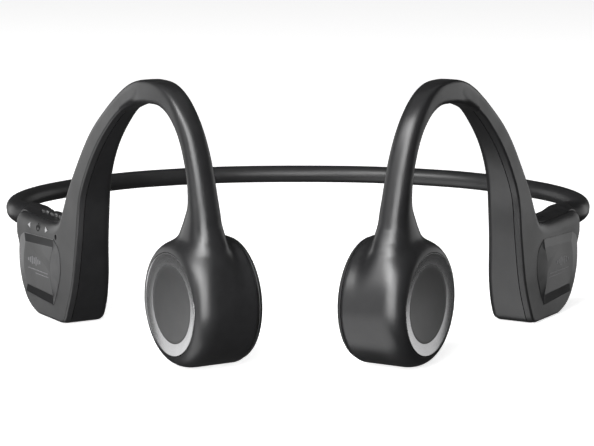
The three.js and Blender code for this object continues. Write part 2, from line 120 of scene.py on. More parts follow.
# The field that the arm's skin is read from: the size of its cells and its corners.
GRID = 0.45
FIELD_LOW = np.array([-0.9, -15.6, -0.9])
FIELD_HIGH = np.array([16.2, 81.7, 63.2])

# Depth of the rear leg and housing at each height, from the outer face inwards.
DEPTH_AT_HEIGHT = [[-5, 11.1], [0, 11], [3.8, 10.9], [10.4, 10.2], [21, 9.1], [31.4, 8.6],
                   [37.8, 7.6], [44.4, 6.7], [50, 6.1], [54, 5.7], [58, 5.3], [63, 5.2], [68, 5.2]]

# Stations of the hook: u, z, w of the middle, half width in the plane, half depth, squareness.
HOOK = [
    [-2.8, 15.5, 6.1, 9.6, 5.9, 3.2], [-3.15, 19.0, 6.0, 9.5, 5.7, 3.4],
    [-3.35, 22.5, 6.1, 8.6, 5.5, 2.9], [-3.35, 26.0, 6.3, 7.3, 4.9, 2.6],
    [-3.4, 29.0, 6.45, 6.0, 4.35, 2.5], [-3.75, 31.8, 6.4, 4.85, 3.8, 2.3],
    [-4.55, 34.9, 6.1, 3.65, 3.45, 2.2], [-5.1, 38.4, 5.55, 2.9, 3.2, 2.2],
    [-5.2, 42.4, 5.0, 2.6, 3.05, 2.2], [-4.9, 46.4, 4.4, 2.5, 2.95, 2.3],
    [-3.75, 50.8, 3.8, 2.45, 2.8, 2.5], [-1.8, 54.4, 3.3, 2.45, 2.7, 2.8],
    [1.2, 57.3, 2.95, 2.5, 2.6, 3.4], [5.0, 59.0, 2.7, 2.5, 2.6, 4.5],
    [10.0, 59.3, 2.6, 2.58, 2.6, 6], [14.5, 58.85, 2.6, 2.62, 2.6, 6],
    [18.5, 57.9, 2.62, 2.3, 2.4, 6], [22.3, 56.4, 2.65, 1.5, 1.9, 3],
]

# Edge of the rear leg and housing, down the front and up the back: u, z, and the
# rounding of its outer corner, and of its inner corner where that isn't INNER.
SOFT, CRISP, SHOULDER, BACK_EDGE, INNER = 2.2, 0.45, 2.6, 1.3, 1.9
LEG_EDGE = [
    [13.4, 58.0, SOFT, SOFT], [15.2, 56.55, 2, SOFT], [17.1, 55.72, 1.7, 2.1],
    [22.5, 53.9, 0.7],
    [28.5, 49.8, CRISP], [34.7, 44.3, CRISP], [40.1, 37.7, CRISP],
    [43.7, 31.3, CRISP], [45.7, 21, CRISP], [48.2, 10.4, CRISP],
    [51.2, 3.6, CRISP], [53, 0.7, CRISP], [55, 0, CRISP],
    [67.5, 0, CRISP], [73.4, 2.2, 0.6], [76.6, 5.8, 0.7],
    [78, 9, 0.8], [78.4, 15, 0.9], [79.4, 16.8, 1.2],
    [80.3, 18.2, 1.6], [80.3, 22.2, 2], [78.7, HOUSING_TOP, 2.4],
    [72, HOUSING_TOP, SHOULDER], [60, HOUSING_TOP, SHOULDER],
    [57, 24.5, 2.3], [54.8, 26.9, 1.8], [51.3, 32.2, BACK_EDGE],
    [48, 36.9, BACK_EDGE], [41.4, 45.1, BACK_EDGE], [37.2, 49.2, BACK_EDGE],
    [31.1, 53.8, 1.4], [26.3, 57, 1.6, 2], [19.4, 60.5, 2, 2.1],
    [16.4, 61.05, SOFT, SOFT], [13.6, 60.3, SOFT, SOFT],
]

CAVITY_OUTLINE = [[47.6, 28.2], [47.3, 21], [49.8, 10.9], [53, 4.6], [55, 2.8], [68, 2.8],
                  [73, 4.6], [75.6, 7.6], [76.9, 13.9], [78.6, 18.4], [78.6, 22.3],
                  [58.5, 22.3], [53.2, 25.8]]

# The route of the wires' channel: w, u, z.
CHANNEL = [[7.0, -3, 22.5], [6.95, -2.8, 26], [6.8, -3, 29], [6.6, -3.4, 31.8], [6.1, -4.5, 34.9],
           [5.5, -5.1, 38.4], [5.0, -5.2, 42.4], [4.4, -4.9, 46.4], [3.8, -3.75, 50.8],
           [3.6, -1.8, 54.4], [3.6, 1.2, 57.3], [3.6, 5, 59], [3.6, 10, 59.3], [3.6, 17, 58.2],
           [3.6, 24, 55.6], [3.6, 29.9, 51.8], [3.8, 36.2, 46.4], [4.1, 42.2, 39.5],
           [4.4, 46.8, 32.7], [4.6, 50.2, 25]]

CHANNEL_HALF = (1.5, 0.95)  # half its width in the plane and along w

# The badge's outer edge and the edge of its raised flat, four sides each, from the
# top front corner: down the front, along the bottom, up the rear and along the top.
BADGE_RISE = 0.5
BADGE_OUTER = [
    [[58.1, 19.7], [55.3, 17.4], [54.6, 12.4], [56.7, 6.9], [58.7, 3.8]],
    [[58.7, 3.8], [73.8, 4.7]],
    [[73.8, 4.7], [76.9, 8.8], [77.6, 13], [76.8, 17.6], [74.4, 19.1]],
    [[74.4, 19.1], [58.1, 19.7]],
]
BADGE_INNER = [
    [[57.7, 17.9], [59.3, 13.7], [59, 9.6], [57.9, 6.3]],
    [[57.9, 6.3], [72.2, 6.8]],
    [[72.2, 6.8], [73.9, 10], [74.1, 13.4], [73, 17.1]],
    [[73, 17.1], [57.7, 17.9]],
]

# Half of the band's centre line seen from above: x, and y back from the pod faces.
BAND_HALF = [[0, 139.6], [10.8, 139.2], [19, 138.1], [27.5, 135.9], [35.5, 132.8],
             [41.8, 129.8], [48, 125.7], [57, 117.3], [62, 111], [65, 106.6], [67.8, 100.9],
             [69.9, 94.3], [70.7, 88], [70.1, 81.2], [68.2, 75.6]]

# The charging port, in the underside of the control side's housing.
PORT_MIDDLE = (4.75, 59.8)  # w and u
PORT_HALF = (1.85, 4.6)
FLAP_MIDDLE = (4.8, 60.4)
FLAP_HALF = (2.4, 5.6)
FLAP_CORNER, RECESS_CORNER = 0.35, 0.45
FLAP_Z = (0.15, 1.05)
MIC_PLACE = (57, 20.4)      # u and z
MIC_RADII = (0.56, 0.66)

# ---- curves ----

COS, SIN = math.cos(EAR_TURN), math.sin(EAR_TURN)


def place(points, side):
    """Points of an ear unit's frame (w, u, z), in the row frame in metres."""
    w, u, z = np.asarray(points, float).T
    x = -EAR_X + w * COS - u * SIN
    y = -CENTRE_Y + w * SIN + u * COS
    return np.column_stack((SIDES[side] * x, y, z)) * MM


def hermite(t, here, leave, after, arrive):
    """The cubic from here to after, with its slopes at both."""
    return ((2 * t**3 - 3 * t**2 + 1) * here + (t**3 - 2 * t**2 + t) * leave
            + (3 * t**2 - 2 * t**3) * after + (t**3 - t**2) * arrive)


def curve(points, step, closed=False, pace=2):
    """A centripetal Catmull-Rom curve through rows of numbers, sampled every step.

    The first pace columns are the place, and the others go along with it."""
    points = np.asarray(points, float)
    if closed:
        padded = np.vstack((points[-1:], points, points[:2]))
    else:
        padded = np.vstack((2 * points[0] - points[1], points, 2 * points[-1] - points[-2]))
    gaps = np.linalg.norm(np.diff(padded[:, :pace], axis=0), axis=1) ** 0.5
    rows = []
    for i in range(1, len(padded) - 2):
        before, here, after, beyond = padded[i - 1:i + 3]
        a, b, c = gaps[i - 1:i + 2]
        leave = b * ((here - before) / a - (after - before) / (a + b) + (after - here) / b)
        arrive = b * ((after - here) / b - (beyond - here) / (b + c) + (beyond - after) / c)
        t = np.linspace(0, 1, 24, endpoint=False)[:, None]
        rows.append(hermite(t, here, leave, after, arrive))
    rows.append(padded[-2][None] if closed else points[-1:])
    return resample(np.vstack(rows), step, pace, closed)


def lengths(path):
    """The length along a path at each of its points."""
    return np.concatenate(([0], np.cumsum(np.linalg.norm(np.diff(path, axis=0), axis=1))))


def read_at(along, rows, at):
    """Rows of numbers that stand at along, read at other places."""
    return np.column_stack([np.interp(at, along, column) for column in rows.T])


def resample(rows, step, pace, closed=False):
    """The same line with its points a steady step apart."""
    along = lengths(rows[:, :pace])
    count = max(2, round(along[-1] / step))
    even = read_at(along, rows, np.linspace(0, along[-1], count + 1))
    return even[:-1] if closed else even


def directions(path):
    """Unit steps along a path, at each of its points."""
    ahead = np.gradient(path, axis=0)
    return ahead / np.linalg.norm(ahead, axis=1)[:, None]


def outward(loop):
    """Normals of a closed loop in the plane, away from its inside."""
    ahead = np.roll(loop, -1, 0) - np.roll(loop, 1, 0)
    normal = np.column_stack((ahead[:, 1], -ahead[:, 0]))
    turn = np.sum(loop[:, 0] * np.roll(loop[:, 1], -1) - np.roll(loop[:, 0], -1) * loop[:, 1])
    return normal / np.linalg.norm(normal, axis=1)[:, None] * np.sign(turn)


def nearest(line, at, closed):
    """The nearest points of a line: its distance, segment, share of the segment, and foot."""
    chunk = 20000
    first = np.concatenate([np.argmin((line**2).sum(1) - 2 * at[i:i + chunk] @ line.T, axis=1)
                            for i in range(0, len(at), chunk)])
    found = None
    for step in (-1, 0):
        start = (first + step) % len(line) if closed else np.clip(first + step, 0, len(line) - 2)
        end = (start + 1) % len(line)
        span = line[end] - line[start]
        share = np.clip(((at - line[start]) * span).sum(1) / (span**2).sum(1), 0, 1)
        foot = line[start] + span * share[:, None]
        away = np.linalg.norm(at - foot, axis=1)
        if found is None:
            found = [away, start, share, foot]
        else:
            better = away < found[0]
            found = [np.where(better if new.ndim == 1 else better[:, None], new, old)
                     for old, new in zip(found, (away, start, share, foot))]
    return found


def smooth_table(table, at):
    """A table of [place, value] rows read with a smooth curve."""
    xs, ys = np.array(table, float).T
    slope = np.gradient(ys, xs)
    i = np.clip(np.searchsorted(xs, at) - 1, 0, len(xs) - 2)
    width = xs[i + 1] - xs[i]
    t = np.clip((at - xs[i]) / width, 0, 1)
    return hermite(t, ys[i], width * slope[i], ys[i + 1], width * slope[i + 1])


# ---- the arm's skin, read from a field ----

LEG_LOOP = curve([[*row, INNER][:4] for row in LEG_EDGE], 0.5, closed=True)
LEG_LOOP[:, 1] = np.clip(LEG_LOOP[:, 1], 0, APEX)
LEG_NORMALS = outward(LEG_LOOP[:, :2])
HOOK_LINE = curve(HOOK, 0.1)


def round_max(a, b, radius):
    """Both a and b, meeting in a rounded edge."""
    return (np.minimum(np.maximum(a, b), -radius)
            + np.hypot(np.maximum(a + radius, 0), np.maximum(b + radius, 0)))


def smooth_min(a, b, reach):
    """Either a or b, meeting in a fillet."""
    share = np.clip(0.5 + 0.5 * (b - a) / reach, 0, 1)
    return b + (a - b) * share - reach * share * (1 - share)


def flare(u, z):
    """How much the pod widens where its front runs up into the hook."""
    climb = np.degrees(np.arctan2(z - POD_HEIGHT, -u))
    return POD_FLARE * np.sin(np.pi * np.clip((climb - 2) / 92, 0, 1)) ** 2


def plan(u, z):
    """What the field needs to know at each place in the plane of the ear unit."""
    at = np.column_stack((u, z))
    away, i, share, foot = nearest(LEG_LOOP[:, :2], at, closed=True)
    j = (i + 1) % len(LEG_LOOP)
    t = share[:, None]
    normal = LEG_NORMALS[i] * (1 - t) + LEG_NORMALS[j] * t
    side = np.sign(((at - foot) * normal).sum(1))
    corners = LEG_LOOP[i, 2:] * (1 - t) + LEG_LOOP[j, 2:] * t
    from_hook, i, share, _ = nearest(HOOK_LINE[:, :2], at, closed=False)
    t = share[:, None]
    station = HOOK_LINE[i, 2:] * (1 - t) + HOOK_LINE[i + 1, 2:] * t
    return {
        "leg": away * side, "outer": corners[:, 0], "inner": corners[:, 1],
        "depth": smooth_table(DEPTH_AT_HEIGHT, z), "from_hook": from_hook, "station": station,
        "radius": np.hypot(u, z - POD_HEIGHT), "flare": flare(u, z), "u": u, "z": z,
    }


def arm_field(w, at):
    """Below zero inside the arm. Its shape is the hook, pod, rear leg and band boss together."""
    leg = round_max(round_max(at["leg"], -w, at["outer"]), w - at["depth"], at["inner"])
    middle, half_width, half_depth, power = (at["station"][..., k] for k in range(4))
    section = ((at["from_hook"] / half_width) ** power
               + np.abs((w - middle) / half_depth) ** power) ** (1 / power)
    hook = (section - 1) * np.minimum(half_width, half_depth)
    rise = POD_RADIUS - RING_RADIUS
    deep = np.clip((w - FLARE_FADE[0]) / (FLARE_FADE[1] - FLARE_FADE[0]), 0, 1)
    radius = at["radius"] / (1 + at["flare"] * (1 - deep**2 * (3 - 2 * deep)))
    pod = rise * (np.hypot(np.maximum(radius - RING_RADIUS, 0) / rise,
                           np.maximum(SHOULDER_DEPTH - w, 0) / SHOULDER_DEPTH) - 1)
    pod = round_max(pod, w - POD_DEPTH, POD_EDGE)
    swell = np.clip((at["u"] - BOSS_START) / BOSS_SWELL, 0, 1)
    boss_radius = BOSS_RADIUS[0] + (BOSS_RADIUS[1] - BOSS_RADIUS[0]) * swell
    boss = np.hypot(w - BAND_DEPTH, at["z"] - BAND_HEIGHT) - boss_radius
    boss = round_max(boss, at["u"] - HOUSING_REAR, BOSS_EDGE)
    boss = np.maximum(boss, BOSS_FRONT - at["u"])
    arm = smooth_min(hook, pod, HOOK_FILLET)
    arm = smooth_min(arm, leg, LEG_FILLET)
    return smooth_min(arm, boss, BOSS_FILLET)


def arm_skin():
    """Vertices and quads of the arm's outside, in (w, u, z)."""
    axes = [np.arange(low, high, GRID) for low, high in zip(FIELD_LOW, FIELD_HIGH)]
    u, z = np.meshgrid(axes[1], axes[2], indexing="ij")
    flat = {name: values.reshape((1,) + u.shape + values.shape[1:])
            for name, values in plan(u.ravel(), z.ravel()).items()}
    field = arm_field(axes[0][:, None, None], flat)
    points, quads = surface_nets(field, FIELD_LOW)
    for _ in range(2):
        points = pull_to_skin(points)
    points[:, 2] = np.clip(points[:, 2], 0, APEX)
    return points, quads


def pull_to_skin(points):
    """Moves each vertex along the field's slope onto the surface itself."""
    probe = 0.04
    w, u, z = points.T
    here = plan(u, z)
    value = arm_field(w, here)
    slope = np.column_stack([
        arm_field(w + probe, here) - value,
        arm_field(w, plan(u + probe, z)) - value,
        arm_field(w, plan(u, z + probe)) - value,
    ]) / probe
    steep = np.maximum((slope**2).sum(1), 0.05)
    move = -value[:, None] * slope / steep[:, None]
    length = np.linalg.norm(move, axis=1)[:, None]
    return points + move * np.minimum(1, 0.3 / np.maximum(length, 1e-9))


def surface_nets(field, low):
    """The surface where a field on a grid crosses zero, as one vertex in each crossed cell."""
    inside = field < 0
    corners = [(i, j, k) for i in (0, 1) for j in (0, 1) for k in (0, 1)]

    def corner(array, offset):
        cut = tuple(slice(o, o + n - 1) for o, n in zip(offset, array.shape))
        return array[cut]

    count = sum(corner(inside, c).astype(int) for c in corners)
    cells = np.argwhere((count > 0) & (count < 8))
    total = np.zeros((len(cells), 3))
    hits = np.zeros(len(cells))
    for a in corners:
        for axis in range(3):
            if a[axis]:
                continue
            b = tuple(value + (k == axis) for k, value in enumerate(a))
            fa = field[tuple((cells + a).T)]
            fb = field[tuple((cells + b).T)]
            crossed = (fa < 0) != (fb < 0)
            share = np.where(crossed, fa / np.where(crossed, fa - fb, 1), 0)
            spot = np.tile(np.array(a, float), (len(cells), 1))
            spot[:, axis] = share
            total += spot * crossed[:, None]
            hits += crossed
    points = low + (cells + total / hits[:, None]) * GRID
    index = np.full(tuple(n - 1 for n in field.shape), -1)
    index[tuple(cells.T)] = np.arange(len(cells))
    quads = []
    for axis in range(3):
        one, two = [k for k in range(3) if k != axis]
        first = np.take(inside, range(field.shape[axis] - 1), axis)
        second = np.take(inside, range(1, field.shape[axis]), axis)
        for edges, flip in ((np.argwhere(first & ~second), axis == 1),
                            (np.argwhere(~first & second), axis != 1)):
            ring = []
            for back_one, back_two in ((1, 1), (0, 1), (0, 0), (1, 0)):
                cell = edges.copy()
                cell[:, one] -= back_one
                cell[:, two] -= back_two
                ring.append(index[tuple(cell.T)])
            quad = np.column_stack(ring)
            quads.append(quad[:, ::-1] if flip else quad)
    return points, np.vstack(quads)


# ---- meshes ----

def make(name, points, faces, smooth_angle=40):
    """A new object, with its edges kept sharp where they turn by more than smooth_angle."""
    mesh = bpy.data.meshes.new(name)
    mesh.from_pydata([tuple(p) for p in points], [], [tuple(map(int, f)) for f in faces])
    mesh.validate()
    mesh.shade_smooth()
    mesh.set_sharp_from_angle(angle=math.radians(smooth_angle))
    thing = bpy.data.objects.new(name, mesh)
    bpy.context.scene.collection.objects.link(thing)
    return thing


def merge(*solids):
    """Several (points, faces) as one."""
    points, faces, offset = [], [], 0
    for some_points, some_faces in solids:
        points.append(np.asarray(some_points, float))
        faces += [[i + offset for i in face] for face in some_faces]
        offset += len(some_points)
    return np.vstack(points), faces


def right_way_out(solid):
    """The same closed solid with its faces turned out."""
    points, faces = solid
    points = np.asarray(points, float)
    volume = 0
    for face in faces:
        a = points[face[0]]
        for i in range(1, len(face) - 1):
            volume += np.dot(a, np.cross(points[face[i]], points[face[i + 1]]))
    return points, [list(face)[::-1] for face in faces] if volume < 0 else faces


def ring_faces(rings, count, closed=False):
    """Quads between rings of count points each, and from the last to the first if closed."""
    faces = []
    for r in range(rings if closed else rings - 1):
        here, there = r * count, (r + 1) % rings * count
        faces += [[here + i, here + (i + 1) % count, there + (i + 1) % count, there + i]
                  for i in range(count)]
    return faces


def loft(rings):
    """A closed skin over rings that hold the same number of points, with flat ends."""
    count = len(rings[0])
    faces = ring_faces(len(rings), count)
    faces.append(list(range(count))[::-1])
    faces.append([(len(rings) - 1) * count + i for i in range(count)])
    return right_way_out((np.vstack(rings), faces))


def lathe(profile, segments=128):
    """A round solid about the pod's axis, from [radius, w] points that start and end on the axis,
    or close on themselves."""
    profile = np.asarray(profile, float)
    on_axis = profile[0, 0] == 0
    ring = profile[1:-1] if on_axis else profile
    turn = np.linspace(0, 2 * math.pi, segments, endpoint=False)
    rows = [np.column_stack((np.full(segments, w), r * np.cos(turn), POD_HEIGHT + r * np.sin(turn)))
            for r, w in ring]
    points = np.vstack(rows)
    faces = ring_faces(len(ring), segments, closed=not on_axis)
    if on_axis:
        ends = [[profile[0, 1], 0, POD_HEIGHT], [profile[-1, 1], 0, POD_HEIGHT]]
        last = (len(ring) - 1) * segments
        first_pole, last_pole = len(points), len(points) + 1
        faces += [[first_pole, (i + 1) % segments, i] for i in range(segments)]
        faces += [[last_pole, last + i, last + (i + 1) % segments] for i in range(segments)]
        points = np.vstack((points, ends))
    return right_way_out((points, faces))


def arc(centre, radius, start, end, steps=6):
    """Points of an arc, from and to angles in degrees."""
    turn = np.radians(np.linspace(start, end, steps))
    return [[centre[0] + radius * math.cos(a), centre[1] + radius * math.sin(a)] for a in turn]


def rounded_box(half, radius, steps=7):
    """A rectangle with round corners, about the middle."""
    a, b = half[0] - radius, half[1] - radius
    corners = [((a, b), 0), ((-a, b), 90), ((-a, -b), 180), ((a, -b), 270)]
    return np.array([p for middle, turn in corners
                     for p in arc(middle, radius, turn, turn + 90, steps)])


def pill(middle, half, radius, layers):
    """A rounded box standing up: layers are [z, inset], and middle is its w and u."""
    rings = []
    for z, inset in layers:
        flat = rounded_box((half[0] - inset, half[1] - inset), max(radius - inset, 0.05))
        rings.append(np.column_stack((middle[0] + flat[:, 0], middle[1] + flat[:, 1],
                                      np.full(len(flat), z))))
    return loft(rings)


def slab(outline, layers):
    """An outline in u and z, built through w by layers: the w of each of its points, or one w."""
    return loft([np.column_stack((np.broadcast_to(w, len(outline)), outline)) for w in layers])


def post(axis, middle, radii, start, end, sides=32):
    """A cylinder along w or u, with an oval section, about its middle's two other numbers."""
    turn = np.linspace(0, 2 * math.pi, sides, endpoint=False)
    a = middle[0] + radii[0] * np.cos(turn)
    b = middle[1] + radii[1] * np.sin(turn)
    rings = []
    for end_at in (start, end):
        along = np.full(sides, end_at)
        rings.append(np.column_stack((along, a, b) if axis == "w" else (a, along, b)))
    return loft(rings)


def sweep(path, sections):
    """A tube along a path of (x, y, z), from a ring of (side, up) points at each of its points."""
    rings = []
    for point, along, section in zip(path, directions(path), sections):
        across = np.cross(along, (0, 0, 1))
        across /= np.linalg.norm(across)
        up = np.cross(across, along)
        rings.append(point + section[:, :1] * across + section[:, 1:] * up)
    return rings


def circle(radius, sides):
    """Points of a circle about the middle."""
    turn = np.linspace(0, 2 * math.pi, sides, endpoint=False)
    return np.column_stack((radius * np.cos(turn), radius * np.sin(turn)))


def hollow_tube(path, outer, bore, sides=32):
    """A tube with an open bore. outer is its radius at each point of the path."""
    outside = sweep(path, [circle(radius, sides) for radius in outer])
    inside = sweep(path, [circle(bore, sides)] * len(path))
    rings = outside + inside[::-1]
    return right_way_out((np.vstack(rings), ring_faces(len(rings), sides, closed=True)))


def cut(solid, cutters):
    """A solid less the cutters, as (points, faces)."""
    body = make("cut_body", *solid)
    tools = []
    for i, cutter in enumerate(cutters):
        tool = make(f"cut_tool_{i}", *cutter)
        step = body.modifiers.new(f"cut_{i}", "BOOLEAN")
        step.operation = "DIFFERENCE"
        step.solver = "MANIFOLD"
        step.object = tool
        tools.append(tool)
    shown = body.evaluated_get(bpy.context.evaluated_depsgraph_get())
    mesh = bpy.data.meshes.new_from_object(shown)
    points = np.zeros(len(mesh.vertices) * 3)
    mesh.vertices.foreach_get("co", points)
    faces = [list(p.vertices) for p in mesh.polygons]
    for thing in [body, *tools]:
        bpy.data.meshes.remove(thing.data)
    bpy.data.meshes.remove(mesh)
    return points.reshape(-1, 3), faces


def piece(name, solid, side, slot, node_name=None, body=None, paint=None, smooth_angle=40):
    """A piece of an ear unit, in its place. It stands for a node, and rides on its own body or
    else on the arm. paint is its material where that isn't the slot's."""
    points, faces = solid
    if SIDES[side] < 0:
        faces = [list(face)[::-1] for face in faces]
    thing = make(name, place(points, side), faces, smooth_angle)
    thing.data.materials.append(paint or MATERIALS[slot])
    if node_name:
        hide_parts(node_name)
    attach(thing, body or f"arm_{side}")
    return thing


# ---- materials ----

class Look:
    """A new material, with short ways to add nodes to it."""

    def __init__(self, name, color, roughness, metallic=0.0, specular=0.5):
        self.material = bpy.data.materials.new(name)
        self.material.use_nodes = True
        self.material.diffuse_color = (*color, 1)
        self.tree = self.material.node_tree
        self.shader = self.tree.nodes["Principled BSDF"]
        self.shader.inputs["Base Color"].default_value = (*color, 1)
        self.shader.inputs["Roughness"].default_value = roughness
        self.shader.inputs["Metallic"].default_value = metallic
        self.shader.inputs["Specular IOR Level"].default_value = specular

    def node(self, kind, links=None, **settings):
        """A new node, with settings on itself or its sockets, and links from other sockets."""
        added = self.tree.nodes.new(kind)
        for key, value in settings.items():
            if hasattr(added, key):
                setattr(added, key, value)
            else:
                added.inputs[key.replace("_", " ")].default_value = value
        for socket, source in (links or {}).items():
            self.tree.links.new(source, added.inputs[socket])
        return added

    def where(self):
        return self.node("ShaderNodeTexCoord").outputs["Object"]

    def link(self, socket, source):
        self.tree.links.new(source, self.shader.inputs[socket])

    def bump(self, height, strength, distance):
        """Relief of at most distance millimetres."""
        made = self.node("ShaderNodeBump", {"Height": height}, Strength=strength,
                         Distance=distance * MM)
        self.link("Normal", made.outputs["Normal"])

    def gloss(self, source, smooth, rough, start=0.0, end=1.0):
        """Roughness from smooth, where the source is start, to rough, where it is end."""
        made = self.node("ShaderNodeMapRange", {"Value": source}, From_Min=start, From_Max=end,
                         To_Min=smooth, To_Max=rough)
        self.link("Roughness", made.outputs["Result"])

    def ramp(self, source, low, high, start=0.0, end=1.0):
        """A colour from low, where the source is start, to high, where it is end."""
        made = self.node("ShaderNodeValToRGB", {"Fac": source})
        first, last = made.color_ramp.elements
        first.position, last.position = start, end
        first.color, last.color = (*low, 1), (*high, 1)
        return made.outputs["Color"]


def shade_of(color, share):
    """The same colour, darker or lighter."""
    return [channel * share for channel in color]


def moulded(name, color, roughness, grain=0.22, depth=0.004, metallic=0.0, specular=0.5,
            mottle=0.12, smudge=0.06):
    """Moulded plastic or rubber: a fine spark-eroded grain, and slow changes of tone and gloss."""
    look = Look(name, color, roughness, metallic, specular)
    where = look.where()
    fine = look.node("ShaderNodeTexNoise", {"Vector": where}, Scale=1 / (grain * MM), Detail=3.0)
    look.bump(fine.outputs["Fac"], 0.5, depth)
    slow = look.node("ShaderNodeTexNoise", {"Vector": where}, Scale=90.0, Detail=4.0)
    look.gloss(slow.outputs["Fac"], roughness - smudge, roughness + smudge, 0.3, 0.7)
    spots = look.node("ShaderNodeTexNoise", {"Vector": where}, Scale=420.0, Detail=5.0,
                      Roughness=0.6)
    tone = look.ramp(spots.outputs["Fac"], shade_of(color, 1 - mottle), shade_of(color, 1 + mottle),
                     0.3, 0.7)
    look.link("Base Color", tone)
    return look.material


def turned_metal(name, color, roughness, stretch=(1, 1, 14), pitch=0.25):
    """Metal with fine drawn lines and a slightly uneven polish."""
    look = Look(name, color, roughness, 1.0)
    along = look.node("ShaderNodeMapping", {"Vector": look.where()}, Scale=stretch)
    lines = look.node("ShaderNodeTexNoise", {"Vector": along.outputs["Vector"]},
                      Scale=1 / (pitch * MM), Detail=3.0).outputs["Fac"]
    look.bump(lines, 0.4, 0.006)
    look.gloss(lines, roughness - 0.08, roughness + 0.12)
    look.link("Base Color", look.ramp(lines, shade_of(color, 0.82), color))
    return look.material


def circuit_board(name):
    """Solder mask with darker tracks under it and tinned pads."""
    mask = (0.012, 0.09, 0.035)
    look = Look(name, mask, 0.35)
    where = look.where()
    tracks = look.node("ShaderNodeTexBrick", {"Vector": where}, Scale=260.0, Mortar_Size=0.04,
                       Color1=(*mask, 1), Color2=(0.02, 0.13, 0.05, 1),
                       Mortar=(0.006, 0.05, 0.02, 1))
    pads = look.node("ShaderNodeTexVoronoi", {"Vector": where}, Scale=520.0)
    dots = look.ramp(pads.outputs["Distance"], (1, 1, 1), (0, 0, 0), 0.14, 0.18)
    both = look.node("ShaderNodeMix", {"Factor": dots}, data_type="RGBA")
    mask_color, pad_color, mixed_color = both.inputs[6], both.inputs[7], both.outputs[2]
    look.tree.links.new(tracks.outputs["Color"], mask_color)
    pad_color.default_value = (0.6, 0.6, 0.56, 1)
    look.link("Base Color", mixed_color)
    look.bump(tracks.outputs["Fac"], 0.4, 0.03)
    return look.material


def windings(name, color):
    """Enamelled copper wire wound round the pod's axis."""
    look = Look(name, color, 0.3, 1.0)
    turns = look.node("ShaderNodeTexWave", {"Vector": look.where()}, Scale=700.0,
                      Distortion=0.6).outputs["Fac"]
    look.bump(turns, 0.7, 0.05)
    look.link("Base Color", look.ramp(turns, shade_of(color, 0.45), color))
    return look.material


MATERIALS = {
    "shell_black": moulded("shell_black", (0.009, 0.009, 0.0095), 0.36),
    "cover_black": moulded("cover_black", (0.012, 0.012, 0.0125), 0.38),
    "badge_grey": moulded("badge_grey", (0.018, 0.018, 0.0185), 0.36, grain=0.15),
    "band_black": moulded("band_black", (0.0115, 0.0115, 0.012), 0.42, grain=0.3),
    "rim_black": moulded("rim_black", (0.42, 0.42, 0.425), 0.25, grain=0.12, depth=0.0012,
                         metallic=0.95, mottle=0.03, smudge=0.015),
    "disc_grey": moulded("disc_grey", (0.02, 0.02, 0.0205), 0.36, grain=0.15, smudge=0.04),
    "pad_black": moulded("pad_black", (0.011, 0.011, 0.0115), 0.55, grain=0.35, depth=0.01),
    "button_black": moulded("button_black", (0.012, 0.012, 0.0125), 0.33, grain=0.15),
    "drive_plastic": moulded("drive_plastic", (0.05, 0.05, 0.052), 0.45),
    "foam": moulded("foam", (0.02, 0.02, 0.021), 0.95, grain=0.4, depth=0.2, mottle=0.4),
    "lead": moulded("lead", (0.16, 0.012, 0.01), 0.45, grain=0.2),
    "alloy": turned_metal("alloy", (0.55, 0.55, 0.56), 0.32),
    "steel": turned_metal("steel", (0.46, 0.47, 0.48), 0.34),
    "magnet": turned_metal("magnet", (0.36, 0.37, 0.38), 0.28, stretch=(1, 1, 1)),
    "cell": turned_metal("cell", (0.62, 0.62, 0.64), 0.4, stretch=(1, 1, 3), pitch=0.8),
    "copper": windings("copper", (0.75, 0.3, 0.12)),
    "board": circuit_board("board"),
}
PRINT_LIGHT = moulded("print_light", (0.26, 0.26, 0.265), 0.4, grain=0.1)
PRINT_DIM = moulded("print_dim", (0.005, 0.005, 0.005), 0.6, grain=0.1, specular=0.1)
MARK_GREY = moulded("mark_grey", (0.09, 0.09, 0.094), 0.35, grain=0.1)
# Lit and shaded copies of the badge's grey: a painted highlight for the badge's edge and its front
# and rear facets, and painted shade for its top and bottom facets.
BADGE_PAINTED_HIGHLIGHT = moulded("badge_painted_highlight", (0.038, 0.038, 0.039), 0.34, grain=0.12)
BADGE_PAINTED_SHADE = moulded("badge_painted_shade", (0.007, 0.007, 0.0075), 0.5, grain=0.12, specular=0.15)

for entry in frame["record"]["materials"]:
    for node_name in entry.get("nodes", []):
        slots = frame["nodes"][node_name].data.materials
        slots.clear()
        slots.append(MATERIALS[entry["slot"]])

# ---- the arms ----

def pod_cavity():
    """Room for the exciter, open to the ring in front and to the cheek pad behind."""
    return lathe([[0, -1], [MOUTH_RADIUS, -1], [MOUTH_RADIUS, 2.6], [POD_INNER_RADIUS, 3.6],
                  [POD_INNER_RADIUS, POD_DEPTH + 1], [0, POD_DEPTH + 1]], 96)


def housing_cavity():
    """Room for the board or the battery, open to the outer cover."""
    outline = curve(CAVITY_OUTLINE, 1.2, closed=True)
    floor = smooth_table(DEPTH_AT_HEIGHT, outline[:, 1]) - SHELL_WALL
    return slab(outline, [0.5, floor])


def rectangle(start, end):
    """A rectangle from u = start to u = end that is taller than the ear unit."""
    low, high = -5, 70
    return np.array([[start, low], [end, low], [end, high], [start, high]])


def cover_space():
    """Everything in front of the shell from the cover's tail back."""
    return slab(rectangle(COVER_START - TAIL_GAP, 90), [-3.0, COVER_THICKNESS + PARTING_GAP])


def wire_channel():
    """The channel for the core and the lead, from the pod through the hook to the housing."""
    half = CHANNEL_HALF
    corners = ((half[0], -half[1]), half, (-half[0], half[1]), (-half[0], -half[1]))
    path = curve(CHANNEL, 1.5, pace=3)
    ahead = np.gradient(path, axis=0)
    rings = []
    for point, along in zip(path, ahead):
        across = np.array([0, -along[2], along[1]])
        across /= np.linalg.norm(across)
        depth = np.array([1, 0, 0])
        rings.append(np.array([point + across * a + depth * b for a, b in corners]))
    return loft(rings)


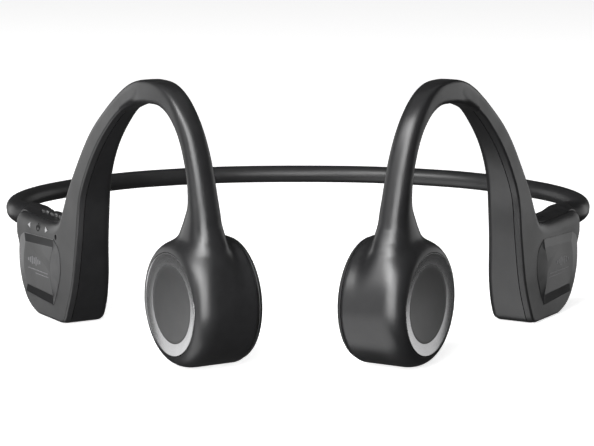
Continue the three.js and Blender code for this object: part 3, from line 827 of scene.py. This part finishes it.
def control_holes():
    """Holes for the buttons and the port, and the recess for the port's cover."""
    layers = [[HOUSING_TOP - 3, 0], [HOUSING_TOP + 3, 0]]
    button_hole = [half + HOLE_ROOM for half in BUTTON_HALF]
    recess = [half + HOLE_ROOM for half in FLAP_HALF]
    return [
        *[pill((BAND_DEPTH, u), button_hole, 1.1, layers) for u in BUTTON_U],
        pill(PORT_MIDDLE, PORT_HALF, 1.6, [[-1, 0], [4, 0]]),
        pill(FLAP_MIDDLE, recess, RECESS_CORNER, [[-1, 0], [FLAP_Z[1] + 0.3, 0]]),
    ]


def band_hole():
    """The way in for the band's wires, through the boss."""
    return post("u", (BAND_DEPTH, BAND_HEIGHT - 0.7), (1.6, 1.6), 75.3, 83)


def outer_cover(is_control_side):
    """The outer cover: the leg's edge with its outer corner rounded, cut off at its tail."""
    loop, corner = LEG_LOOP[:, :2], LEG_LOOP[:, 2]
    lean = np.clip((loop[:, 0] - COVER_START) / 4, 0, 1) * COVER_DRAFT

    def ring(w, extra=0.0):
        inward = np.maximum(corner - w, 0)
        inset = corner - np.sqrt(np.maximum(corner**2 - inward**2, 0)) + extra
        inset = inset + lean * (1 - w / COVER_THICKNESS)
        return np.column_stack((np.broadcast_to(w, len(loop)), loop - LEG_NORMALS * inset[:, None]))

    chamfer, steps = 0.06, 9
    start = np.minimum(corner, 1.45)
    rings = [ring(COVER_THICKNESS, chamfer), ring(COVER_THICKNESS - chamfer)]
    rings += [ring(start * (1 - math.sin(math.pi / 2 * k / steps))) for k in range(steps + 1)]
    rings.append(ring(0.0, 0.12))
    solid = loft(rings)
    cutters = [slab(rectangle(-5, COVER_START), [-3.0, 5.0])]
    if is_control_side:
        cutters.append(post("w", MIC_PLACE, MIC_RADII, -2, 4))
    return cut(solid, cutters)


BADGE_COUNTS = [44, 36, 36, 36]  # points along each of the badge's four sides


def sides_of(sides):
    """The four sides of the badge as one loop, each with a fixed number of points."""
    loop = []
    for side, count in zip(sides, BADGE_COUNTS):
        line = curve(side, 0.1)
        at = np.linspace(0, len(line) - 1, count + 1)[:-1]
        loop.append(read_at(np.arange(len(line)), line, at))
    return np.vstack(loop)


def badge():
    """The raised badge: a small step, four sloping facets with crisp corners, and a flat."""
    outer, inner = sides_of(BADGE_OUTER), sides_of(BADGE_INNER)

    def between(share):
        return outer * (1 - share) + inner * share

    rings = [(0.12, between(0)), (-0.08, between(0)), (-0.13, between(0.07)),
             (-BADGE_RISE + 0.02, between(0.98)), (-BADGE_RISE, between(1.03))]
    return loft([np.column_stack((np.full(len(flat), w), flat)) for w, flat in rings])


def paint_badge_highlight_and_shade(mesh):
    """Painted light on the badge: a painted highlight on its edge and its front and rear facets,
    and painted shade on the top and bottom facets.
    """
    count = sum(BADGE_COUNTS)
    ends = np.cumsum(BADGE_COUNTS)
    for face in range(count, 3 * count):
        which = int(np.searchsorted(ends, face % count, side="right"))
        # The edge strip and the front and rear facets get the painted highlight, and the top and
        # bottom facets get the painted shade.
        edge_gets_painted_highlight = face < 2 * count
        mesh.polygons[face].material_index = 1 if edge_gets_painted_highlight or which in (0, 2) else 2


def badge_mark():
    """A made-up mark: seven level bars over two thin rules."""
    heights = [0.7, 1.3, 1.9, 1.5, 2.1, 1.2, 0.8]
    pitch = 1.05
    flats = [rounded_box((0.32, height / 2), 0.14, 4) + (71.2 - i * pitch, 13.1)
             for i, height in enumerate(heights)]
    for start, end, z in ((60.6, 71.6, 11), (60.2, 67.4, 10.2)):
        flats.append(rounded_box(((end - start) / 2, 0.1), 0.09, 4) + ((start + end) / 2, z))
    layers = [-BADGE_RISE + 0.02, -BADGE_RISE - 0.035]
    return merge(*[slab(flat, layers) for flat in flats])


def cover_skin(z):
    """The w of the cover's outside at a height near the housing's rounded top edge."""
    past = np.maximum(np.asarray(z, float) - (HOUSING_TOP - SHOULDER), 0)
    return SHOULDER - np.sqrt(SHOULDER**2 - past**2)


def on_cover(start, finish, thickness=0.03):
    """A thin printed shape that follows the cover, between two rows of (u, z) points."""
    share = np.linspace(0, 1, 5)[:, None]
    rings = []
    for here, there in zip(start, finish):
        flat = here * (1 - share) + there * share
        sheet = np.column_stack((cover_skin(flat[:, 1]), flat))
        rings.append(np.vstack((sheet + (0.02, 0, 0), sheet[::-1] - (thickness, 0, 0))))
    return loft(rings)


def stroke(points, width):
    """A line of a given width, as the rows of points along its two sides."""
    line = np.asarray(points, float)
    ahead = directions(line)
    across = np.column_stack((-ahead[:, 1], ahead[:, 0])) * width / 2
    return line + across, line - across


def icons():
    """The controls' printed symbols: two arrowheads and a power symbol between them."""
    z, half_height, length, line_width = 21.3, 0.68, 1.35, 0.24
    down_u, power_u, up_u = BUTTON_U
    tall = np.linspace(-half_height, half_height, 13)
    reach = length * (1 - np.abs(tall) / half_height) + 0.02
    made = {}
    for name, u, way in (("icon_volume_down", down_u, 1), ("icon_volume_up", up_u, -1)):
        base = np.column_stack((np.full(len(tall), u - way * 0.6), z + tall))
        point = base + np.column_stack((way * reach, 0 * reach))
        made[name] = (on_cover(base, point), PRINT_LIGHT)
    ring = stroke(arc((power_u, z - 0.1), 0.72, 125, 415, 30), line_width)
    bar = stroke([[power_u, z + 0.1 * k] for k in range(12)], line_width)
    made["icon_power"] = (merge(on_cover(*ring), on_cover(*bar)), PRINT_DIM)
    return made


SKIN = arm_skin()
COMMON_CUTS = [pod_cavity(), housing_cavity(), wire_channel(), band_hole(), cover_space()]
for side in SIDES:
    is_control_side = side == "right"
    cuts = COMMON_CUTS + (control_holes() if is_control_side else [])
    piece(f"shell_{side}", cut(SKIN, cuts), side, "shell_black", f"arm_shell_{side}")
    piece(f"cover_{side}", outer_cover(is_control_side), side, "cover_black",
          f"outer_cover_{side}")
    plate = piece(f"badge_{side}", badge(), side, "badge_grey", f"badge_plate_{side}",
                  smooth_angle=5)
    # Slots for the badge's painted highlight and painted shade, which are painted onto the control
    # side's badge only.
    plate.data.materials.append(BADGE_PAINTED_HIGHLIGHT)
    plate.data.materials.append(BADGE_PAINTED_SHADE)
    if is_control_side:
        paint_badge_highlight_and_shade(plate.data)
    piece(f"badge_mark_{side}", badge_mark(), side, "badge_grey", paint=MARK_GREY)
for name, (solid, paint) in icons().items():
    piece(name, solid, "right", "cover_black", paint=paint)

# ---- the pods ----

def pod_rim():
    """The ring round each pod's disc: a hair-fine outer lip and a slightly hollow slope."""
    outer, inner = RING_RADIUS - 0.1, DISC_RADIUS
    top, hollow, lip_radius = 0.03, 0.05, 0.06
    slope = [[outer + (inner - outer) * share,
              top + (RING_SLOPE - top) * share + hollow * math.sin(math.pi * share)]
             for share in np.linspace(0, 1, 9)]
    lip = arc((RING_RADIUS - lip_radius, lip_radius), lip_radius, 0, -90, 4)
    return lathe([[RING_RADIUS, 2.2], [RING_RADIUS, 0.08], *lip, *slope, [DISC_RADIUS, 2.6]][::-1])


def pod_disc():
    """The dished disc, with a fine round edge."""
    edge, depth = DISC_RADIUS - 0.05, RING_SLOPE + 0.01
    dish = [[radius, depth + DISC_HOLLOW * (1 - (radius / edge) ** 2)]
            for radius in np.linspace(0, edge - 0.06, 14)]
    return lathe([*dish, [edge - 0.02, depth + 0.01], [edge, depth + 0.05], [edge, depth + 1.2],
                  [0, depth + 1.6]])


def cheek_pad():
    """The silicone face that rests in front of the ear: flat, with a rolled edge and two rings."""
    back, lip, roll, neck = 14.1, POD_DEPTH + 0.16, 0.9, POD_INNER_RADIUS - 0.15
    depth, width, beside = 0.06, 0.22, 0.7
    face = [[radius, PAD_FACE - depth * math.exp(-((radius - groove) / width) ** 2)]
            for groove in (6, 9.6)
            for radius in np.linspace(groove - beside, groove + beside, 13)]
    return lathe([[0, back], [neck, back], [neck, lip],
                  [POD_RADIUS - 0.45, lip], [POD_RADIUS - 0.38, lip + 0.08],
                  *arc((POD_RADIUS - 1.35, PAD_FACE - roll), roll, 5, 90, 9),
                  *face[::-1], [0, PAD_FACE]])


POD_PIECES = [
    ("pod_rim_fine", pod_rim(), "rim_black", "pod_rim"),
    ("pod_disc_fine", pod_disc(), "disc_grey", "pod_disc"),
    ("pod_pad_fine", cheek_pad(), "pad_black", "cheek_pad"),
]
for side in SIDES:
    for name, solid, slot, node_name in POD_PIECES:
        piece(f"{name}_{side}", solid, side, slot, f"{node_name}_{side}", smooth_angle=30)

# ---- the controls ----

for name, u in zip(BUTTONS, BUTTON_U):
    cap = pill((BAND_DEPTH, u), BUTTON_HALF, 0.95,
               [[21.4, -0.5], [21.95, -0.5], [21.95, 0], [24.2, 0], [24.42, 0.06], [24.58, 0.2],
                [24.67, 0.4], [BUTTON_TOP, 0.7]])
    piece(f"{name}_cap", cap, "right", "button_black", name, body=name)

plate = pill(FLAP_MIDDLE, FLAP_HALF, FLAP_CORNER,
             [[FLAP_Z[0], 0.25], [FLAP_Z[0] + 0.07, 0.07], [FLAP_Z[0] + 0.2, 0],
              [FLAP_Z[1] - 0.1, 0], [FLAP_Z[1], 0.1]])
plug = pill(PORT_MIDDLE, (1.05, 3.8), 0.95,
            [[FLAP_Z[1] - 0.1, 0], [2.35, 0], [2.52, 0.1], [2.6, 0.3]])
lip = pill((FLAP_MIDDLE[0], 55.9), (1.6, 0.5), 0.45,
           [[0.02, 0.2], [0.06, 0.08], [0.14, 0], [FLAP_Z[0] + 0.3, 0]])
piece("port_flap", merge(plate, plug, lip), "right", "pad_black", "port_cover", body="port_cover")

foam_outline = rounded_box((9, 4.1), 1.2) + (63.6, 12.3)
piece("battery_foam_pad", slab(foam_outline, [6.9, 7.1]), "left", "foam", "battery_foam")

# ---- the band ----

def band_line():
    """The band's centre line, from the right unit's boss round the back to the left one's."""
    end = place([[BAND_DEPTH, HOUSING_REAR + 0.6, BAND_HEIGHT]], "left")[0] / MM
    half = [[x, y - CENTRE_Y] for x, y in BAND_HALF] + [list(end[:2])]
    line = curve([[-x, y] for x, y in half[::-1]] + half[1:], 0.5)
    return np.column_stack((line, np.full(len(line), BAND_HEIGHT)))


BAND_LINE = band_line()
ALONG = lengths(BAND_LINE)


def stretch(start, end, step=1.0, offset=0.0):
    """The band's line between two lengths along it, moved sideways by offset."""
    at = np.linspace(start, end, max(2, round((end - start) / step)) + 1)
    line = read_at(ALONG, BAND_LINE, at)
    ahead = directions(line)
    return line + np.column_stack((ahead[:, 1], -ahead[:, 0], np.zeros(len(line)))) * offset


def along_at_x(x):
    """Length along the band's back where it reaches x."""
    middle = (ALONG > 0.2 * ALONG[-1]) & (ALONG < 0.8 * ALONG[-1])
    return np.interp(x, BAND_LINE[middle, 0], ALONG[middle])


def band_piece(name, solid, slot, node_name):
    """A piece of the band, which stands for its node. What it rides on comes after."""
    points, faces = solid
    thing = make(name, points * MM, faces)
    thing.data.materials.append(MATERIALS[slot])
    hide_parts(node_name)
    return thing


flex = {"right": along_at_x(-FLEX_X), "left": along_at_x(FLEX_X)}
spans = {
    "right": (0, flex["right"] + FLEX_REACH),
    "center": (flex["right"] + FLEX_REACH, flex["left"] - FLEX_REACH),
    "left": (flex["left"] - FLEX_REACH, ALONG[-1]),
}
for name, (start, finish) in spans.items():
    line = stretch(start, finish)
    sleeve = hollow_tube(line, [BAND_RADIUS] * len(line), BAND_BORE)
    core = loft(sweep(stretch(start, finish, offset=WIRE_OFFSET),
                      [circle(CORE_RADIUS, 12)] * len(line)))
    lead = loft(sweep(stretch(start, finish, offset=-WIRE_OFFSET),
                      [circle(LEAD_RADIUS, 12)] * len(line)))
    for part, solid, slot in (("sleeve", sleeve, "band_black"), ("core", core, "alloy"),
                              ("lead", lead, "lead")):
        thing = band_piece(f"band_{part}_fine_{name}", solid, slot, f"band_{part}_{name}")
        if name == "center":
            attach(thing, "band")
            continue
        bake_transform(thing)

boots = {"right": (0, BOOT_LENGTH), "left": (ALONG[-1] - BOOT_LENGTH, ALONG[-1])}
for side, (start, finish) in boots.items():
    line = stretch(start, finish, BOOT_STEP)
    first, second = (0, 1) if side == "right" else (-1, -2)
    line[first] += (line[first] - line[second]) / BOOT_STEP * BOOT_REACH
    share = np.linspace(0, 1, len(line))
    if side == "left":
        share = share[::-1]
    lip = 0.1 * np.clip((share - 0.96) / 0.04, 0, 1)
    outer = BOOT_RADIUS - BOOT_TAPER * (3 * share**2 - 2 * share**3) - lip
    boot = hollow_tube(line, outer, BAND_RADIUS + 0.02, 40)
    thing = band_piece(f"boot_{side}", boot, "shell_black", f"band_boot_{side}")
    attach(thing, f"arm_{side}")

# ---- stage, light and camera ----

def pale_floor():
    """A white floor that the object hardly touches with light or reflections."""
    look = Look("stage_pale", (0.86, 0.86, 0.86), 0.9, specular=0.0)
    look.shader.inputs["Emission Color"].default_value = (1, 1, 1, 1)
    look.shader.inputs["Emission Strength"].default_value = 0.78
    half = 20
    floor = make("floor", [(-half, -half, 0), (half, -half, 0), (half, half, 0), (-half, half, 0)],
                 [(0, 1, 2, 3)])
    floor.location.z = -0.0002
    floor.data.materials.append(look.material)
    floor.visible_glossy = False    # so that the object's undersides stay dark
    floor.visible_diffuse = False
    floor.visible_shadow = False
    return floor


pale_floor()

AIM = Vector((0, -0.02, 0.03))


def panel(name, azimuth, elevation, spread, rise, radiance, distance=0.8):
    """A soft panel that faces the object, spread wide and rise tall as the object sees it.

    Angles are in degrees, azimuth to the right of the front."""
    turn, lift = math.radians(azimuth), math.radians(elevation)
    level = math.cos(lift)
    away = Vector((math.sin(turn) * level, -math.cos(turn) * level, math.sin(lift)))
    light = bpy.data.lights.new(name, "AREA")
    light.shape = "RECTANGLE"
    light.size = 2 * distance * math.tan(math.radians(spread / 2))
    light.size_y = 2 * distance * math.tan(math.radians(rise / 2))
    light.energy = math.pi * light.size * light.size_y * radiance
    lamp = bpy.data.objects.new(name, light)
    lamp.location = AIM + away * distance
    lamp.rotation_euler = (-away).to_track_quat("-Z", "Y").to_euler()
    bpy.context.scene.collection.objects.link(lamp)


panel("key", -10, 10, 32, 55, 9, 0.25)
panel("band_key", -38, 39, 34, 22, 14)
panel("left_wall", -124, 1, 42, 29, 1.4)
panel("right_wall", 124, 1, 42, 29, 1.05)
panel("front_left", -64, 14, 26, 56, 1.2)
panel("low_left", -62, -46, 50, 56, 2)
panel("top", 0, 88, 60, 60, 0.3, 0.9)


def studio_background():
    """Nearly white where the camera sees it, and dim as a light."""
    world = bpy.data.worlds.new("studio")
    bpy.context.scene.world = world
    world.use_nodes = True
    tree = world.node_tree
    shade = tree.nodes["Background"]
    shade.inputs["Color"].default_value = (1, 1, 1, 1)
    path = tree.nodes.new("ShaderNodeLightPath")
    level = tree.nodes.new("ShaderNodeMapRange")
    level.inputs["To Min"].default_value = 0.05
    level.inputs["To Max"].default_value = 0.85
    tree.links.new(path.outputs["Is Camera Ray"], level.inputs["Value"])
    tree.links.new(level.outputs["Result"], shade.inputs["Strength"])


def front_camera():
    """The view from in front and ten degrees above."""
    lens = bpy.data.cameras.new("camera")
    lens.sensor_width = 36
    lens.lens = 145.45
    lens.clip_start, lens.clip_end = 0.01, 60
    camera = bpy.data.objects.new("camera", lens)
    camera.location = (-0.00265, -0.57297, 0.11813)
    camera.rotation_euler = (math.pi / 2 - 0.168, 0, -0.004)
    bpy.context.scene.collection.objects.link(camera)
    bpy.context.scene.camera = camera
    bpy.context.scene.view_settings.view_transform = "Standard"


studio_background()
front_camera()

bpy.context.view_layer.update()
